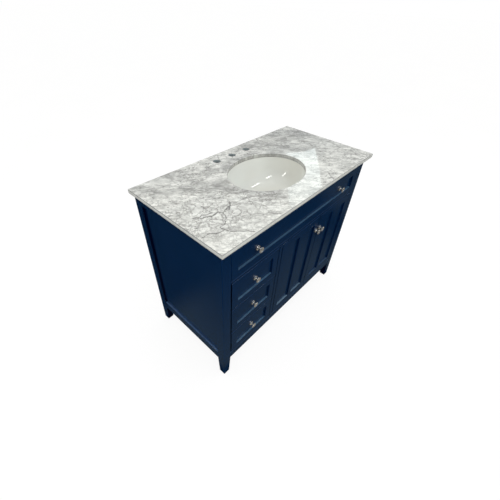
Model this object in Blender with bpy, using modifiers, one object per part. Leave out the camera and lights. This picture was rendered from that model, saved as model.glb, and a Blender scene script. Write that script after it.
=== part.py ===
"""Bathroom vanity cabinet: marble top, undermount oval bowl, three drawers and two inset doors.

Metres, +Z up. X runs along the width, Y from the front (-Y) to the wall (+Y), and the origin is on
the floor under the middle of the marble top.
"""
import math

import bmesh
import bpy
from mathutils import Matrix, Vector

# ---- driving dimensions -------------------------------------------------------------------------
TOP_W = 1.067              # marble top: width, depth, thickness
TOP_D = 0.546
TOP_T = 0.019
HEIGHT = 0.890             # floor to the marble's face
SIDE_OVERHANG = 0.020
FRONT_OVERHANG = 0.025
GAP = 0.0003               # kept between neighbours that touch

POST = 0.045               # square corner post
FOOT = 0.035               # square foot that the leg tapers to
LEG_H = 0.124              # leg below the cabinet body
RAIL_T = 0.022             # thickness of the frame's rails
TOP_RAIL_H = 0.036
MID_RAIL_H = 0.0135
BOTTOM_RAIL_H = 0.041
SIDE_BOTTOM_RAIL_H = 0.051
SIDE_TOP_RAIL_H = 0.050
DIVIDER_W = 0.022
FALSE_FRONT_OPENING_H = 0.1425
DRAWER_OPENING_W = 0.300

FRONT_T = 0.020            # drawer fronts and doors
FRAME_W = 0.037            # stiles and rails of a shaker front
MULLION_W = 0.030
RECESS = 0.009             # how far a shaker panel lies behind its frame
FRONT_GAP = 0.0025         # around an inset front
BETWEEN_GAP = 0.003        # between two inset fronts
DRAWER_LEFT_GAP = 0.005    # between the left post and the drawer fronts
FALSE_FRONT_GAP = 0.001
ROUNDING = 0.0012          # softened wooden edges
TOP_ROUNDING = 0.0015      # eased edges of the marble

SIDE_PANEL_T = 0.010
SIDE_RECESS = 0.009
BOARD_T = 0.018            # cabinet floor and partition
BACK_T = 0.009
BACK_RAIL_H = 0.080
PLUMBING_W = 0.320
PLUMBING_H = 0.300
PLUMBING_X = 0.060
PLUMBING_Z = 0.470

SINK_Y = -0.012            # middle of the oval cut-out
SINK_A = 0.200             # half width and half depth of the cut-out
SINK_B = 0.15875
BOWL_REVEAL = 0.003        # the bowl's mouth is this much wider than the cut-out
BOWL_DEPTH = 0.150
BOWL_T = 0.010
BOWL_FLANGE = 0.022
BOWL_STEPS = 40
DRAIN_R = 0.0225
FAUCET_PITCH = 0.1016
FAUCET_HOLE_R = 0.0175
FAUCET_Y = 0.213

BOX_LENGTH = 0.420         # drawer box, front to back
BOX_H = 0.115
BOX_SIDE_T = 0.012
BOX_BOTTOM_T = 0.006
BOX_LIFT = 0.022           # box above the bottom edge of its front
SLIDE_T = 0.0127           # space that a slide fills beside the box
SLIDE_H = 0.042
SLIDE_LENGTH = 0.470
SLIDE_SHEET = 0.0014
RUNNER_H = 0.034

PIN_R = 0.002
PIN_HOLE_R = 0.0024
PIN_INSET = 0.006          # hinge axis behind the door's front face and inside its edge
PIN_LENGTH = 0.013
PLATE = (0.030, 0.016, 0.0012)

KNOB_PROJECTION = 0.0215
KNOB_X = 0.3155            # knobs of the false front, and the drawers' knobs below the left one
KNOB_STEPS = 16
DOOR_KNOB_DROP = 0.0785
DOOR_KNOB_INSET = (0.0185, 0.0135)   # left and right door, from the edges where they meet

CLIP_W = 0.020
CLIP_T = 0.002

# ---- derived dimensions -------------------------------------------------------------------------
UNDER_TOP = HEIGHT - TOP_T
BODY_X = TOP_W / 2 - SIDE_OVERHANG
FRONT_Y = -TOP_D / 2 + FRONT_OVERHANG
BACK_Y = TOP_D / 2
INNER_X = BODY_X - POST                       # inner faces of the posts
RAIL_BACK_Y = FRONT_Y + RAIL_T

FALSE_FRONT_Z1 = UNDER_TOP - TOP_RAIL_H
FALSE_FRONT_Z0 = FALSE_FRONT_Z1 - FALSE_FRONT_OPENING_H
LOWER_Z1 = FALSE_FRONT_Z0 - MID_RAIL_H        # opening of the drawers and doors
LOWER_Z0 = LEG_H + BOTTOM_RAIL_H
DIVIDER_X0 = -INNER_X + DRAWER_OPENING_W
DIVIDER_X1 = DIVIDER_X0 + DIVIDER_W

DRAWER_NAMES = ("bottom", "middle", "top")
DRAWER_W = DRAWER_OPENING_W - DRAWER_LEFT_GAP - FRONT_GAP
DRAWER_H = (LOWER_Z1 - LOWER_Z0 - 2 * FRONT_GAP - 2 * BETWEEN_GAP) / 3
DRAWER_X = (-INNER_X + DIVIDER_X0) / 2
BOX_W = DRAWER_OPENING_W - 2 * SLIDE_T
BOX_Y0 = FRONT_Y + FRONT_T + GAP

DOOR_W = (INNER_X - DIVIDER_X1 - 2 * FRONT_GAP - BETWEEN_GAP) / 2
DOOR_Z0 = LOWER_Z0 + FRONT_GAP
DOOR_Z1 = LOWER_Z1 - FRONT_GAP
HINGE_Y = FRONT_Y + PIN_INSET

BACK_PANEL_Y0 = BACK_Y - RAIL_T + GAP

# colours: name -> (red, green, blue, roughness, metallic)
COLOURS = {
    "navy_paint": (0.010, 0.024, 0.058, 0.25, 0.0),
    "marble": (0.78, 0.78, 0.76, 0.12, 0.0),
    "ceramic": (0.84, 0.83, 0.79, 0.08, 0.0),
    "nickel": (0.72, 0.70, 0.66, 0.15, 1.0),
    "zinc_steel": (0.60, 0.61, 0.62, 0.35, 1.0),
    "maple": (0.66, 0.50, 0.32, 0.45, 0.0),
    "birch_ply": (0.70, 0.56, 0.38, 0.55, 0.0),
}


# ---- helpers ------------------------------------------------------------------------------------
def clear_scene():
    for ob in list(bpy.data.objects):
        bpy.data.objects.remove(ob, do_unlink=True)


def make_collection(name):
    collection = bpy.data.collections.new(name)
    bpy.context.scene.collection.children.link(collection)
    return collection


def material(node, colour):
    red, green, blue, roughness, metallic = COLOURS[colour]
    mat = bpy.data.materials.new(node)
    mat.use_nodes = True
    shader = mat.node_tree.nodes["Principled BSDF"]
    shader.inputs["Base Color"].default_value = (red, green, blue, 1.0)
    shader.inputs["Roughness"].default_value = roughness
    shader.inputs["Metallic"].default_value = metallic
    return mat


def add_object(name, mesh, colour, parent=None):
    ob = bpy.data.objects.new(name, mesh)
    PARTS.objects.link(ob)
    mesh.materials.append(material(name, colour))
    if parent is not None:
        ob.parent = parent
        ob.matrix_parent_inverse = parent.matrix_world.inverted()
    return ob


def empty(name, location):
    ob = bpy.data.objects.new(name, None)
    ob.matrix_world = Matrix.Translation(location)
    PARTS.objects.link(ob)
    return ob


def box_mesh(name, low, high):
    low = Vector(low)
    high = Vector(high)
    bm = bmesh.new()
    bmesh.ops.create_cube(bm, size=1.0)
    bmesh.ops.scale(bm, vec=high - low, verts=bm.verts)
    bmesh.ops.translate(bm, vec=(low + high) / 2, verts=bm.verts)
    mesh = bpy.data.meshes.new(name)
    bm.to_mesh(mesh)
    bm.free()
    return mesh


def box(name, low, high, colour, parent=None):
    return add_object(name, box_mesh(name, low, high), colour, parent)


def soften(ob, width=ROUNDING, segments=1):
    bevel = ob.modifiers.new("soft_edges", "BEVEL")
    bevel.width = width
    bevel.segments = segments
    bevel.limit_method = "ANGLE"
    bevel.angle_limit = math.radians(40)
    bevel.use_clamp_overlap = True


def cutter(name, mesh):
    ob = bpy.data.objects.new(name, mesh)
    CUTTERS.objects.link(ob)
    ob.hide_render = True
    ob.display_type = "WIRE"
    return ob


def cut(ob, mesh, operation="DIFFERENCE"):
    tool = cutter(ob.name + "_cutter", mesh)
    boolean = ob.modifiers.new("cut", "BOOLEAN")
    boolean.operation = operation
    boolean.object = tool
    boolean.solver = "EXACT"


def cylinder_mesh(name, centre, radius, length, segments=24):
    bm = bmesh.new()
    bmesh.ops.create_cone(bm, cap_ends=True, segments=segments, radius1=radius, radius2=radius, depth=length)
    bmesh.ops.translate(bm, vec=centre, verts=bm.verts)
    mesh = bpy.data.meshes.new(name)
    bm.to_mesh(mesh)
    bm.free()
    return mesh


def oval_mesh(name, half_x, half_y, centre, length, segments=48):
    bm = bmesh.new()
    bmesh.ops.create_cone(bm, cap_ends=True, segments=segments, radius1=1, radius2=1, depth=length)
    bmesh.ops.scale(bm, vec=(half_x, half_y, 1), verts=bm.verts)
    bmesh.ops.translate(bm, vec=centre, verts=bm.verts)
    mesh = bpy.data.meshes.new(name)
    bm.to_mesh(mesh)
    bm.free()
    return mesh


def outline_mesh(name, points, thickness):
    """Flat outline in the XY plane, extruded from z = 0 to z = thickness."""
    curve = bpy.data.curves.new(name, "CURVE")
    curve.dimensions = "2D"
    curve.fill_mode = "BOTH"
    curve.extrude = thickness / 2
    spline = curve.splines.new("POLY")
    spline.points.add(len(points) - 1)
    for target, (x, y) in zip(spline.points, points):
        target.co = (x, y, 0, 1)
    spline.use_cyclic_u = True
    holder = bpy.data.objects.new(name + "_outline", curve)
    PARTS.objects.link(holder)
    bpy.context.view_layer.update()
    evaluated = holder.evaluated_get(bpy.context.evaluated_depsgraph_get())
    mesh = bpy.data.meshes.new_from_object(evaluated)
    mesh.materials.clear()
    bpy.data.objects.remove(holder, do_unlink=True)
    bpy.data.curves.remove(curve)
    bm = bmesh.new()
    bm.from_mesh(mesh)
    bmesh.ops.remove_doubles(bm, verts=bm.verts, dist=1e-6)
    bmesh.ops.recalc_face_normals(bm, faces=bm.faces)
    bmesh.ops.translate(bm, vec=(0, 0, thickness / 2), verts=bm.verts)
    bm.to_mesh(mesh)
    bm.free()
    return mesh


def turned_mesh(name, profile, steps):
    """Solid of revolution about Z from (radius, height) points, outer side running downwards."""
    mesh = bpy.data.meshes.new(name + "_profile")
    points = [(radius, 0, height) for radius, height in profile]
    mesh.from_pydata(points, [(i, i + 1) for i in range(len(points) - 1)], [])
    holder = bpy.data.objects.new(name + "_turning", mesh)
    PARTS.objects.link(holder)
    screw = holder.modifiers.new("turn", "SCREW")
    screw.axis = "Z"
    screw.angle = 2 * math.pi
    screw.steps = steps
    screw.render_steps = steps
    screw.use_merge_vertices = True
    screw.merge_threshold = 1e-5
    bpy.context.view_layer.update()
    evaluated = holder.evaluated_get(bpy.context.evaluated_depsgraph_get())
    turned = bpy.data.meshes.new_from_object(evaluated)
    bpy.data.objects.remove(holder, do_unlink=True)
    bpy.data.meshes.remove(mesh)
    turned.name = name
    return turned


def smooth(mesh, angle=35):
    mesh.shade_smooth()
    mesh.set_sharp_from_angle(angle=math.radians(angle))


# ---- carcass ------------------------------------------------------------------------------------
def make_post(name, side, end):
    """side: -1 left, +1 right; end: -1 front, +1 back. The leg tapers on its two inner faces."""
    outer_x = side * BODY_X
    outer_y = FRONT_Y if end < 0 else BACK_Y
    low = (min(outer_x, outer_x - side * POST), min(outer_y, outer_y - end * POST), 0)
    high = (max(outer_x, outer_x - side * POST), max(outer_y, outer_y - end * POST), UNDER_TOP - GAP)
    mesh = box_mesh(name, low, high)
    bm = bmesh.new()
    bm.from_mesh(mesh)
    bmesh.ops.bisect_plane(
        bm, geom=bm.verts[:] + bm.edges[:] + bm.faces[:], plane_co=(0, 0, LEG_H), plane_no=(0, 0, 1))
    for vert in bm.verts:
        if vert.co.z < LEG_H / 2:
            if abs(vert.co.x - outer_x) > POST / 2:
                vert.co.x = outer_x - side * FOOT
            if abs(vert.co.y - outer_y) > POST / 2:
                vert.co.y = outer_y - end * FOOT
    bm.to_mesh(mesh)
    bm.free()
    soften(add_object(name, mesh, "navy_paint"))


def make_front_frame():
    inner = INNER_X - GAP
    rails = {
        "front_top_rail": (FALSE_FRONT_Z1, UNDER_TOP - GAP),
        "front_mid_rail": (LOWER_Z1, FALSE_FRONT_Z0),
        "front_bottom_rail": (LEG_H, LOWER_Z0),
    }
    for name, (z0, z1) in rails.items():
        soften(box(name, (-inner, FRONT_Y, z0), (inner, RAIL_BACK_Y, z1), "navy_paint"))
    soften(box("front_divider", (DIVIDER_X0, FRONT_Y, LOWER_Z0 + GAP),
               (DIVIDER_X1, RAIL_BACK_Y, LOWER_Z1 - GAP), "navy_paint"))


def make_side(name, side):
    """Recessed panel between a top and a bottom rail, all between the posts of one side."""
    y0 = FRONT_Y + POST + GAP
    y1 = BACK_Y - POST - GAP
    outer = side * BODY_X
    inner = side * (BODY_X - RAIL_T)
    x0, x1 = sorted((outer, inner))
    panel_z0 = LEG_H + SIDE_BOTTOM_RAIL_H
    panel_z1 = UNDER_TOP - SIDE_TOP_RAIL_H
    soften(box("side_top_rail_" + name, (x0, y0, panel_z1), (x1, y1, UNDER_TOP - GAP), "navy_paint"))
    soften(box("side_bottom_rail_" + name, (x0, y0, LEG_H), (x1, y1, panel_z0), "navy_paint"))
    face = side * (BODY_X - SIDE_RECESS)
    x0, x1 = sorted((face, face - side * SIDE_PANEL_T))
    box("side_panel_" + name, (x0, y0, panel_z0 + GAP), (x1, y1, panel_z1 - GAP), "navy_paint")


def make_floor():
    wide = BODY_X - RAIL_T - GAP
    narrow = INNER_X - GAP
    front = RAIL_BACK_Y + GAP
    front_post = FRONT_Y + POST + GAP
    back_post = BACK_Y - POST - GAP
    back = BACK_PANEL_Y0 - GAP
    right = [(narrow, front), (narrow, front_post), (wide, front_post), (wide, back_post),
             (narrow, back_post), (narrow, back)]
    left = [(-x, y) for x, y in reversed(right)]
    mesh = outline_mesh("floor_panel", right + left, BOARD_T)
    mesh.transform(Matrix.Translation((0, 0, LOWER_Z0 - BOARD_T)))
    add_object("floor_panel", mesh, "birch_ply")


def make_partition():
    box("partition", (DIVIDER_X0, RAIL_BACK_Y + GAP, LOWER_Z0 + GAP),
        (DIVIDER_X0 + BOARD_T, BACK_PANEL_Y0 - GAP, FALSE_FRONT_Z0), "birch_ply")


def make_back():
    inner = INNER_X - GAP
    rail_z0 = UNDER_TOP - BACK_RAIL_H
    panel = box("back_panel", (-inner, BACK_PANEL_Y0, LEG_H),
                (inner, BACK_PANEL_Y0 + BACK_T, rail_z0 - GAP), "birch_ply")
    half = Vector((PLUMBING_W / 2, BACK_T, PLUMBING_H / 2))
    centre = Vector((PLUMBING_X, BACK_PANEL_Y0 + BACK_T / 2, PLUMBING_Z))
    cut(panel, box_mesh("plumbing_opening", centre - half, centre + half))
    box("back_top_rail", (-inner, BACK_PANEL_Y0, rail_z0), (inner, BACK_Y, UNDER_TOP - GAP), "birch_ply")


# ---- shaker fronts ------------------------------------------------------------------------------
def shaker_front(name, x0, x1, z0, z1, parent=None, mullion=False):
    front = box(name, (x0, FRONT_Y, z0), (x1, FRONT_Y + FRONT_T, z1), "navy_paint", parent)
    centre = (x0 + x1) / 2
    bays = [(x0 + FRAME_W, x1 - FRAME_W)]
    if mullion:
        bays = [(x0 + FRAME_W, centre - MULLION_W / 2), (centre + MULLION_W / 2, x1 - FRAME_W)]
    for bay_x0, bay_x1 in bays:
        cut(front, box_mesh("recess", (bay_x0, FRONT_Y - RECESS, z0 + FRAME_W),
                            (bay_x1, FRONT_Y + RECESS, z1 - FRAME_W)))
    return front


def knob_profile():
    """(radius, height) from the foot's middle out to the head's middle and back down is one line."""
    head = KNOB_PROJECTION
    return [
        (0.0, head), (0.0050, head), (0.0064, head - 0.0012), (0.0084, head - 0.0012),
        (0.0094, head), (0.0118, head), (0.0132, head - 0.0014), (0.0132, head - 0.0040),
        (0.0112, head - 0.0062), (0.0056, head - 0.0078), (0.0042, head - 0.0100), (0.0042, 0.0060),
        (0.0066, 0.0045), (0.0098, 0.0035), (0.0110, 0.0022), (0.0110, GAP), (0.0, GAP),
    ]


def make_knob(name, x, z, surface_y, parent=None):
    mesh = turned_mesh(name, knob_profile(), KNOB_STEPS)
    mesh.transform(Matrix.Rotation(math.pi / 2, 4, "X"))
    mesh.transform(Matrix.Translation((x, surface_y, z)))
    smooth(mesh)
    add_object(name, mesh, "nickel", parent)


def make_false_front():
    x1 = INNER_X - FALSE_FRONT_GAP
    z0 = FALSE_FRONT_Z0 + FALSE_FRONT_GAP
    z1 = FALSE_FRONT_Z1 - FALSE_FRONT_GAP
    soften(shaker_front("false_front", -x1, x1, z0, z1))
    for name, side in (("left", -1), ("right", 1)):
        make_knob("false_front_knob_" + name, side * KNOB_X, (z0 + z1) / 2, FRONT_Y + RECESS)


# ---- drawers ------------------------------------------------------------------------------------
def channel_mesh(name, height, depth, length, sheet):
    """C channel along +Y from y = 0: web at x = 0, flanges towards +X, middle at z = 0."""
    outer = height / 2
    inner = outer - sheet
    points = [(0, -outer), (depth, -outer), (depth, -inner), (sheet, -inner),
              (sheet, inner), (depth, inner), (depth, outer), (0, outer)]
    mesh = outline_mesh(name, points, length)
    # the outline's plane becomes XZ and its thickness runs along +Y
    mesh.transform(Matrix(((1, 0, 0, 0), (0, 0, 1, 0), (0, 1, 0, 0), (0, 0, 0, 1))))
    mesh.flip_normals()
    return mesh


def place_channel(name, mesh, x, y, z, facing, parent=None):
    if facing < 0:
        mesh.transform(Matrix.Scale(-1, 4, (1, 0, 0)))
        mesh.flip_normals()
    mesh.transform(Matrix.Translation((x, y, z)))
    add_object(name, mesh, "zinc_steel", parent)


def make_slides(name, parent, z):
    depth = SLIDE_T - 0.004
    for side_name, side in (("left", -1), ("right", 1)):
        wall = DRAWER_X + side * DRAWER_OPENING_W / 2
        rail = channel_mesh("rail", SLIDE_H, depth, SLIDE_LENGTH, SLIDE_SHEET)
        place_channel(f"slide_rail_{name}_{side_name}", rail, wall - side * GAP,
                      RAIL_BACK_Y + 0.002, z, -side)
        runner = channel_mesh("runner", RUNNER_H, depth, BOX_LENGTH, SLIDE_SHEET)
        place_channel(f"slide_runner_{name}_{side_name}", runner,
                      DRAWER_X + side * (BOX_W / 2 + GAP), BOX_Y0, z, side, parent)


def make_drawer(level, name):
    z0 = LOWER_Z0 + FRONT_GAP + level * (DRAWER_H + BETWEEN_GAP)
    z1 = z0 + DRAWER_H
    parent = empty("drawer_axis_" + name, (DRAWER_X, FRONT_Y, (z0 + z1) / 2))
    x0 = -INNER_X + DRAWER_LEFT_GAP
    soften(shaker_front("drawer_front_" + name, x0, x0 + DRAWER_W, z0, z1, parent))
    make_knob("drawer_knob_" + name, -KNOB_X, (z0 + z1) / 2, FRONT_Y + RECESS, parent)

    box_z0 = z0 + BOX_LIFT
    left = DRAWER_X - BOX_W / 2
    right = DRAWER_X + BOX_W / 2
    back = BOX_Y0 + BOX_LENGTH
    walls = box("drawer_box_" + name, (left, BOX_Y0, box_z0), (right, back, box_z0 + BOX_H), "maple", parent)
    cut(walls, box_mesh("inside", (left + BOX_SIDE_T, BOX_Y0 + BOX_SIDE_T, box_z0 - BOX_SIDE_T),
                        (right - BOX_SIDE_T, back - BOX_SIDE_T, box_z0 + BOX_H + BOX_SIDE_T)))
    inset = BOX_SIDE_T + GAP
    bottom_z0 = box_z0 + BOX_SIDE_T
    box("drawer_bottom_" + name, (left + inset, BOX_Y0 + inset, bottom_z0),
        (right - inset, back - inset, bottom_z0 + BOX_BOTTOM_T), "birch_ply", parent)
    make_slides(name, parent, box_z0 + BOX_H / 2)


# ---- doors --------------------------------------------------------------------------------------
def hinge_plate(name, x, z, up, reach):
    """Plate on a rail with a pin into the door's edge. up: +1 pin upwards, -1 pin downwards."""
    length, width, thickness = PLATE
    near = x - reach * (PIN_INSET + FRONT_GAP - GAP)
    x0, x1 = sorted((near, near + reach * length))
    z_plate = sorted((z + up * GAP, z + up * (GAP + thickness)))
    plate = box(name, (x0, HINGE_Y - 0.005, z_plate[0]), (x1, HINGE_Y - 0.005 + width, z_plate[1]), "zinc_steel")
    pin_end = z + up * PIN_LENGTH
    pin_start = z + up * (GAP + thickness / 2)
    pin = cylinder_mesh("pin", (x, HINGE_Y, (pin_start + pin_end) / 2), PIN_R, abs(pin_end - pin_start), 16)
    cut(plate, pin, "UNION")


def make_door(name, x0, side):
    """side: -1 hinged at the left edge, +1 at the right edge."""
    x1 = x0 + DOOR_W
    hinge_x = x0 + PIN_INSET if side < 0 else x1 - PIN_INSET
    parent = empty("door_axis_" + name, (hinge_x, HINGE_Y, (DOOR_Z0 + DOOR_Z1) / 2))
    door = shaker_front("door_" + name, x0, x1, DOOR_Z0, DOOR_Z1, parent, mullion=True)
    soften(door)
    depth = PIN_LENGTH + FRONT_GAP
    for z in (DOOR_Z0, DOOR_Z1):
        cut(door, cylinder_mesh("pin_hole", (hinge_x, HINGE_Y, z), PIN_HOLE_R, 2 * depth - 0.004, 16))
    knob_x = x1 - DOOR_KNOB_INSET[0] if side < 0 else x0 + DOOR_KNOB_INSET[1]
    make_knob("door_knob_" + name, knob_x, DOOR_Z1 - DOOR_KNOB_DROP, FRONT_Y, parent)
    hinge_plate(f"hinge_{name}_bottom", hinge_x, LOWER_Z0, 1, -side)
    hinge_plate(f"hinge_{name}_top", hinge_x, LOWER_Z1, -1, -side)


# ---- marble top and bowl ------------------------------------------------------------------------
def make_top():
    top = box("marble_top", (-TOP_W / 2, -TOP_D / 2, UNDER_TOP), (TOP_W / 2, TOP_D / 2, HEIGHT), "marble")
    soften(top, TOP_ROUNDING, 2)
    middle_z = (UNDER_TOP + HEIGHT) / 2
    cut(top, oval_mesh("sink_cutout", SINK_A, SINK_B, (0, SINK_Y, middle_z), 2 * TOP_T))
    for step in (-1, 0, 1):
        cut(top, cylinder_mesh("faucet_hole", (step * FAUCET_PITCH, FAUCET_Y, middle_z), FAUCET_HOLE_R, 2 * TOP_T))


def bowl_profile():
    """(fraction of the mouth's radius, height) down the inside, as a superellipse-like curve."""
    samples = 10
    inside = []
    for i in range(samples + 1):
        angle = math.pi / 2 * i / samples
        inside.append((math.sin(angle) ** 0.75, -BOWL_DEPTH * math.cos(angle) ** 0.8))
    return inside


def make_bowl():
    mouth = SINK_B + BOWL_REVEAL
    rim_z = UNDER_TOP - GAP
    inner = [(fraction * mouth, rim_z + height) for fraction, height in bowl_profile()]
    outer = []
    for fraction, height in reversed(bowl_profile()):
        outer.append((fraction * (mouth + BOWL_T), rim_z + height - BOWL_T))
    flange = [(mouth + BOWL_FLANGE, rim_z), (mouth + BOWL_FLANGE, rim_z - BOWL_T)]
    inner[0] = (0.0, inner[0][1])
    outer[-1] = (0.0, outer[-1][1])
    mesh = turned_mesh("sink_bowl", inner + flange + outer, BOWL_STEPS)
    stretch = (SINK_A + BOWL_REVEAL) / mouth
    mesh.transform(Matrix.Scale(stretch, 4, (1, 0, 0)))
    mesh.transform(Matrix.Translation((0, SINK_Y, 0)))
    bowl = add_object("sink_bowl", mesh, "ceramic")
    bottom = rim_z - BOWL_DEPTH
    cut(bowl, cylinder_mesh("drain", (0, SINK_Y, bottom), DRAIN_R, 4 * BOWL_T))


def make_clip(name, x, y, turn):
    """Z-shaped clip: one foot against the slab outside the flange, the other under the flange."""
    flange_under = BOWL_T + 2 * GAP
    points = [(0, 0), (0.014, 0), (0.014, -CLIP_T), (CLIP_T, -CLIP_T), (CLIP_T, -flange_under - CLIP_T),
              (-0.010, -flange_under - CLIP_T), (-0.010, -flange_under), (0, -flange_under)]
    mesh = outline_mesh(name, points, CLIP_W)
    mesh.transform(Matrix.Translation((0, 0, -CLIP_W / 2)))
    mesh.transform(Matrix.Rotation(math.pi / 2, 4, "X"))
    mesh.transform(Matrix.Rotation(turn, 4, "Z"))
    mesh.transform(Matrix.Translation((x, y, UNDER_TOP - GAP)))
    add_object(name, mesh, "zinc_steel")


def make_clips():
    stretch = (SINK_A + BOWL_REVEAL) / (SINK_B + BOWL_REVEAL)
    reach_y = SINK_B + BOWL_REVEAL + BOWL_FLANGE + 0.001
    reach_x = (SINK_B + BOWL_REVEAL + BOWL_FLANGE) * stretch + 0.001
    make_clip("sink_clip_left", -reach_x, SINK_Y, math.pi)
    make_clip("sink_clip_right", reach_x, SINK_Y, 0)
    make_clip("sink_clip_front", 0, SINK_Y - reach_y, -math.pi / 2)
    make_clip("sink_clip_back", 0, SINK_Y + reach_y, math.pi / 2)


# ---- the cabinet --------------------------------------------------------------------------------
clear_scene()
PARTS = make_collection("vanity_cabinet")
CUTTERS = make_collection("cutters")

for side_name, side_sign in (("left", -1), ("right", 1)):
    for end_name, end_sign in (("front", -1), ("back", 1)):
        make_post(f"post_{end_name}_{side_name}", side_sign, end_sign)
    make_side(side_name, side_sign)
make_front_frame()
make_floor()
make_partition()
make_back()
make_false_front()
for drawer_level, drawer_name in enumerate(DRAWER_NAMES):
    make_drawer(drawer_level, drawer_name)
make_door("left", DIVIDER_X1 + FRONT_GAP, -1)
make_door("right", INNER_X - FRONT_GAP - DOOR_W, 1)
make_top()
make_bowl()
make_clips()
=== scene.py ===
"""Looks of the bathroom vanity cabinet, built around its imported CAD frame.

Metres, +Z up, in the CAD's own frame: X runs along the width, Y from the front (-Y) to the wall
(+Y), and the origin is on the floor under the middle of the marble top.
"""

import math

import bmesh
import bpy
from mathutils import Matrix, Vector


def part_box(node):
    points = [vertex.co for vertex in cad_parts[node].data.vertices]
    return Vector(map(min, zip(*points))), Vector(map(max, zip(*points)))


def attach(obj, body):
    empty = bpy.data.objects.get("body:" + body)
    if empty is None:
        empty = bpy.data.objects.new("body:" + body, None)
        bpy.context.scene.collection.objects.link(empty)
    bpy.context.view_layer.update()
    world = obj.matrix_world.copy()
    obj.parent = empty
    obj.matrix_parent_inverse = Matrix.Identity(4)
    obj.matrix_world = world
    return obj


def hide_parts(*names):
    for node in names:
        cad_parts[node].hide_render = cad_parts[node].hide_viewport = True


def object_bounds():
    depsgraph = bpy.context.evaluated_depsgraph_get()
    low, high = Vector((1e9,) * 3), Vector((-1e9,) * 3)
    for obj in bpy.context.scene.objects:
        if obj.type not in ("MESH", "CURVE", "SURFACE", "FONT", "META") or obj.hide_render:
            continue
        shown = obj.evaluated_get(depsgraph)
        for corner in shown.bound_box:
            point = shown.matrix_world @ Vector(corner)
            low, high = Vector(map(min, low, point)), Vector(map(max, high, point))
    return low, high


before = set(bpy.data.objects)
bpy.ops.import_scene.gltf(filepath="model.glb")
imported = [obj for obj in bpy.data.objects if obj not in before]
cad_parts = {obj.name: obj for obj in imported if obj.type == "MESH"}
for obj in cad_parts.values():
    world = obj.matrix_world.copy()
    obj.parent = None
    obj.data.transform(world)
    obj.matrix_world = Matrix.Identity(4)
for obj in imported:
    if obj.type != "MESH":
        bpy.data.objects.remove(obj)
cad_low, cad_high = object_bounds()

LEVELS = ("bottom", "middle", "top")
# where narrow gaps open beside and above the fronts
GAP_SIDES = [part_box("drawer_front_top")[0].x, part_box("front_divider")[0].x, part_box("door_left")[0].x,
             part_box("door_right")[0].x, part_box("post_front_right")[0].x]
GAP_TOPS = [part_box(f"drawer_front_{level}")[1].z for level in LEVELS]
FRONT_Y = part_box("front_divider")[0].y
BACK_POST_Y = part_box("post_back_left")[0].y
LEG_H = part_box("front_bottom_rail")[0].z
SIDE_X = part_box("post_front_left")[0].x

# ---- sizes of the details that the CAD leaves plain ------------------
FRAME_W = 0.037            # stiles and rails of the shaker fronts
MULLION_W = 0.030
RECESS = 0.009             # panel behind its frame
PANEL_T = 0.006
PANEL_GAP = 0.00025        # paint crack around a panel
FRONT_CORNER = 0.0014      # outline corners of a front
BAY_CORNER = 0.0012        # corners of the openings in its frame
ARRIS = 0.0016             # rounding of painted edges
SOFT_EDGE = 0.0004
SHEET_EDGE = 0.0002        # rounding of pressed steel
BOARD_EDGE = 0.0008
MARBLE_EASE = 0.0035       # rounded edge of the polished slab
MARBLE_CORNER = 0.0012
SINK_CENTRE = (0.0, -0.012)
SINK_HALF = (0.200, 0.15875)
FAUCET_X = (-0.1016, 0.0, 0.1016)
FAUCET_Y = 0.213
FAUCET_R = 0.0175
BOWL_HALF = (0.203, 0.16175)
BOWL_DEPTH = 0.150
BOWL_T = 0.010
BOWL_FLANGE = 0.022
BOWL_GAP = 0.0003          # under the slab
BOWL_STEPS = 144
DRAIN_R = 0.0225
DRAIN_SEAT_R = 0.031
DRAIN_SEAT_DEPTH = 0.0025
KNOB_STEPS = 72
BOX_SIDE_T = 0.012
BOX_SIDE_ROUND = 0.0012
DOVETAILS = 4
TAIL_NARROW = 0.16         # half width of a pin at the board's end, as a share of the pitch
TAIL_WIDE = 0.30           # and at its root
PIN_SLACK = 0.0001
SLIDE_STEEL_T = 0.0014
# screws of the slides, along Y from the front end, or from the back end where negative
RAIL_SCREWS = (0.030, 0.190, -0.040)
RAIL_SCREW_R = 0.0032
RUNNER_SCREWS = (0.035, 0.230, -0.045)
RUNNER_SCREW_R = 0.0026
BALLS = 9
BALL_R = 0.00115
BALL_START = 0.030
BALL_PITCH = 0.008
HINGE_STEEL_T = 0.0012
HINGE_SCREW_R = 0.0020
HINGE_SCREWS_ALONG = (0.0145, 0.0255)
CLIP_STEEL_T = 0.0021
CLIP_BOLT_R = 0.0042
CLIP_BOLT_IN = 0.005
BUMPER_IN = 0.012

# ---- camera: a wide lens close to the cabinet's front left corner ----
CAMERA_AT = (-0.9573, -0.7281, 1.4861)
CAMERA_AZIMUTH = -0.834
CAMERA_ELEVATION = 0.741
CAMERA_ROLL = 0.034
LENS = 20.34
SENSOR = 36.0
SHIFT = (0.0207, -0.001)

# ---- marble's figure, placed in plan ---------------------------------
# grey drifts of the slab: start, end, width on each side, strength
MARBLE_DRIFTS = (
    ((-0.52, 0.25), (-0.47, 0.17), 0.045, 0.95), ((-0.48, 0.17), (-0.28, 0.09), 0.050, 1.0),
    ((-0.36, 0.11), (-0.22, 0.06), 0.060, 0.9), ((-0.30, 0.09), (-0.22, -0.04), 0.060, 1.0),
    ((-0.22, -0.04), (-0.12, -0.18), 0.060, 0.85), ((-0.34, 0.24), (-0.14, 0.12), 0.07, 0.6),
    ((-0.12, 0.14), (0.10, 0.16), 0.055, 0.8), ((0.10, 0.14), (0.20, 0.06), 0.05, 0.7),
    ((0.15, 0.24), (0.32, 0.02), 0.14, 0.75), ((0.34, 0.24), (0.52, 0.12), 0.14, 0.85),
    ((-0.12, -0.18), (0.0, -0.27), 0.05, 0.6), ((0.34, -0.10), (0.30, -0.26), 0.09, 0.35))
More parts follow.
